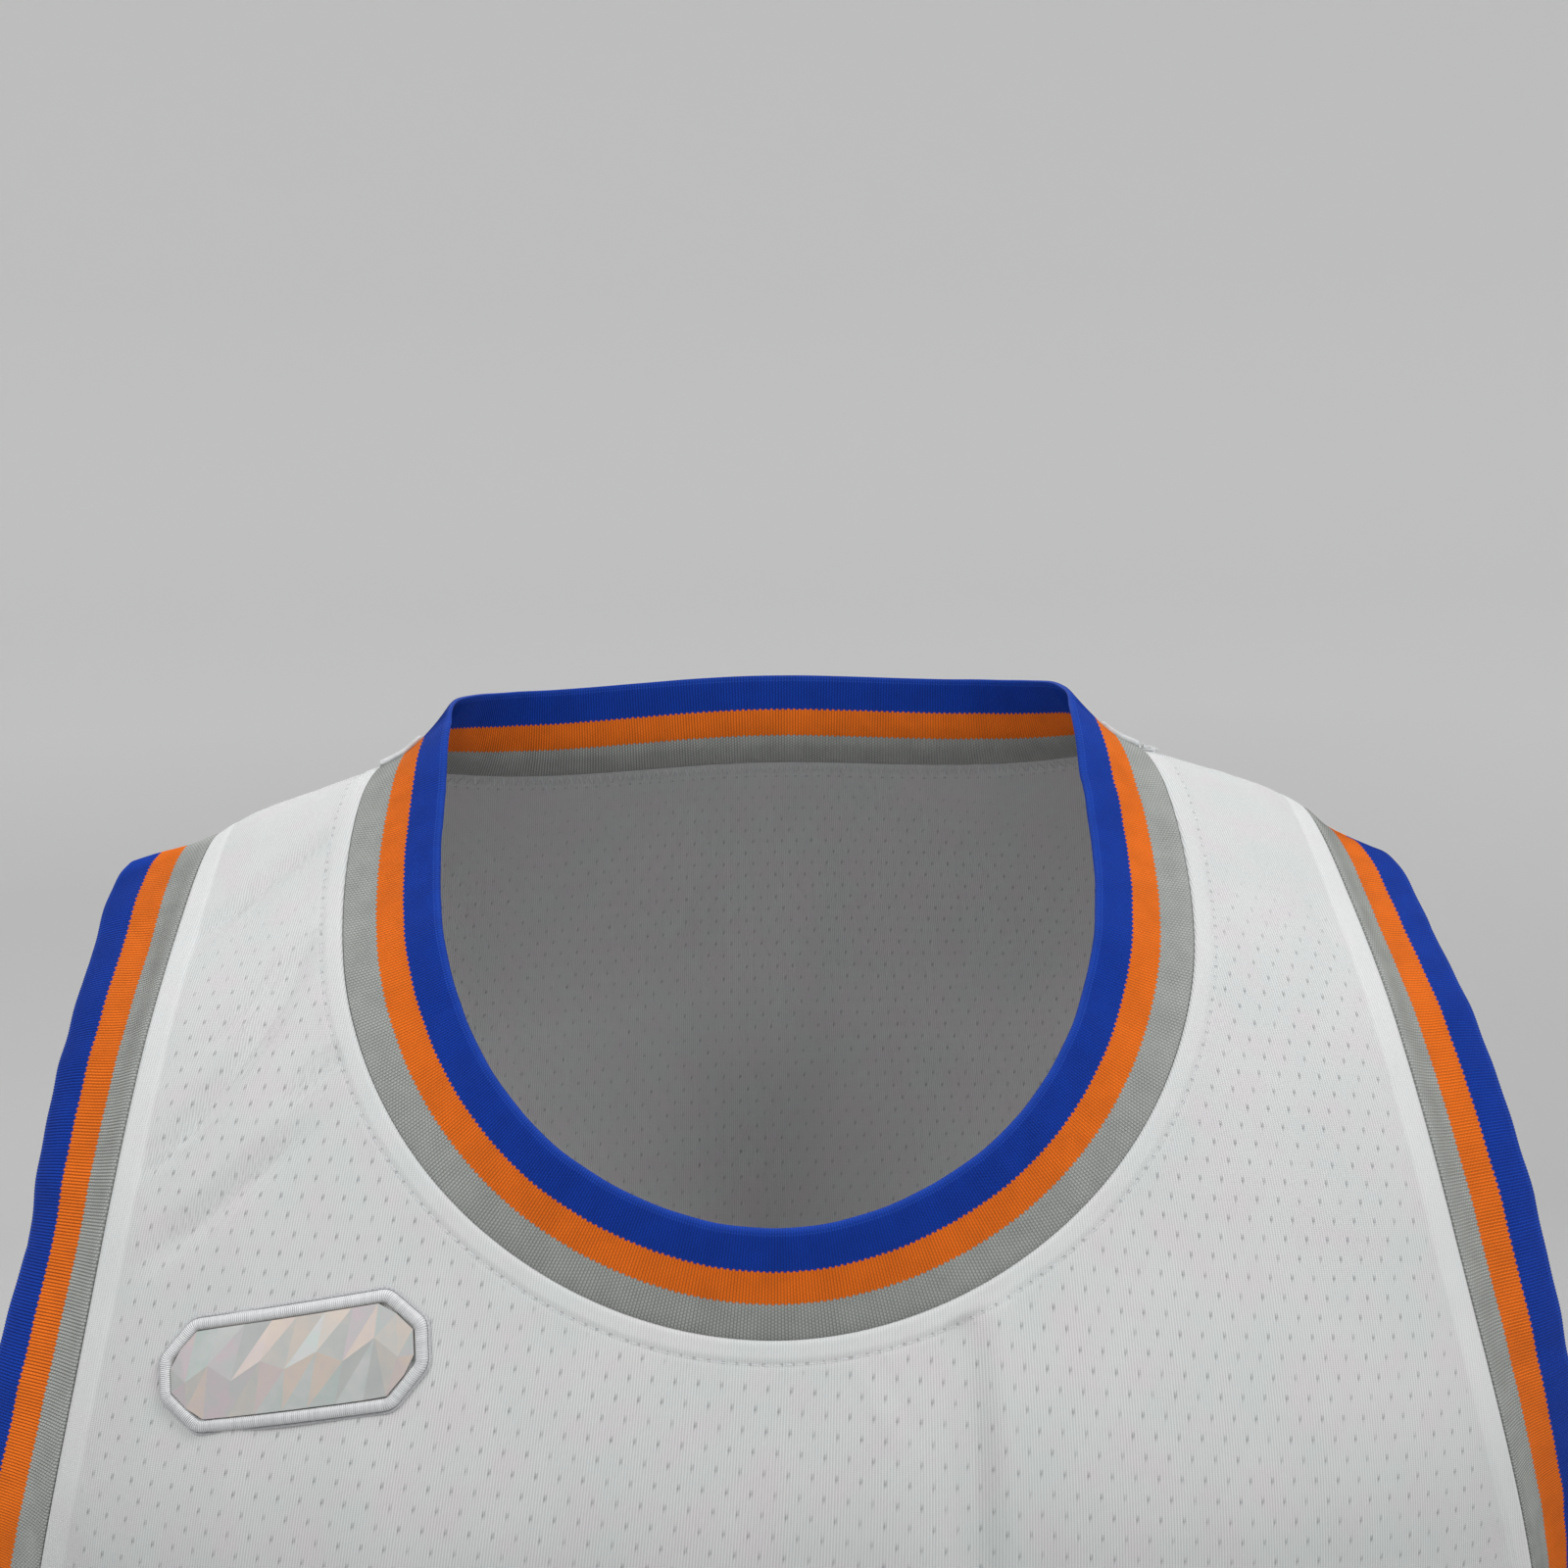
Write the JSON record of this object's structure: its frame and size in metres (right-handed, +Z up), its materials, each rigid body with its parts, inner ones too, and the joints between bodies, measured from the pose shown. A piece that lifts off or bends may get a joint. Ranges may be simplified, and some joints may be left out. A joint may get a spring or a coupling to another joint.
{
  "type": "basketball jersey",
  "caption": "Sleeveless mesh-knit basketball jersey in its worn, hollow form, with striped rib bands at the neck and armholes and a plain faceted chest badge.",
  "frame": {"origin": "where the shoulders carry the shirt: on the shoulder line at the centre, level with the undersides of the two straps half way along them", "axes": "+Z up, +X towards the wearer's left, and the front of the shirt faces -Y"},
  "size_m": [0.452, 0.262, 0.7398],
  "materials": {
    "mesh_knit": "white polyester mesh knit with fine wales and small eyelets in staggered rows",
    "rib_knit": "fine rib knit in three stripes: blue at the free edge, orange, and grey beside the cloth",
    "badge_film": "pearly faceted film on twill",
    "badge_thread": "satin-stitched pale grey thread"
  },
  "bodies": {
    "root": {"front_panel": "mesh_knit", "back_panel": "mesh_knit", "neck_band": "rib_knit", "armhole_band_left": "rib_knit", "armhole_band_right": "rib_knit", "chest_badge": "badge_film", "chest_badge_border": "badge_thread"}
  },
  "joints": []
}
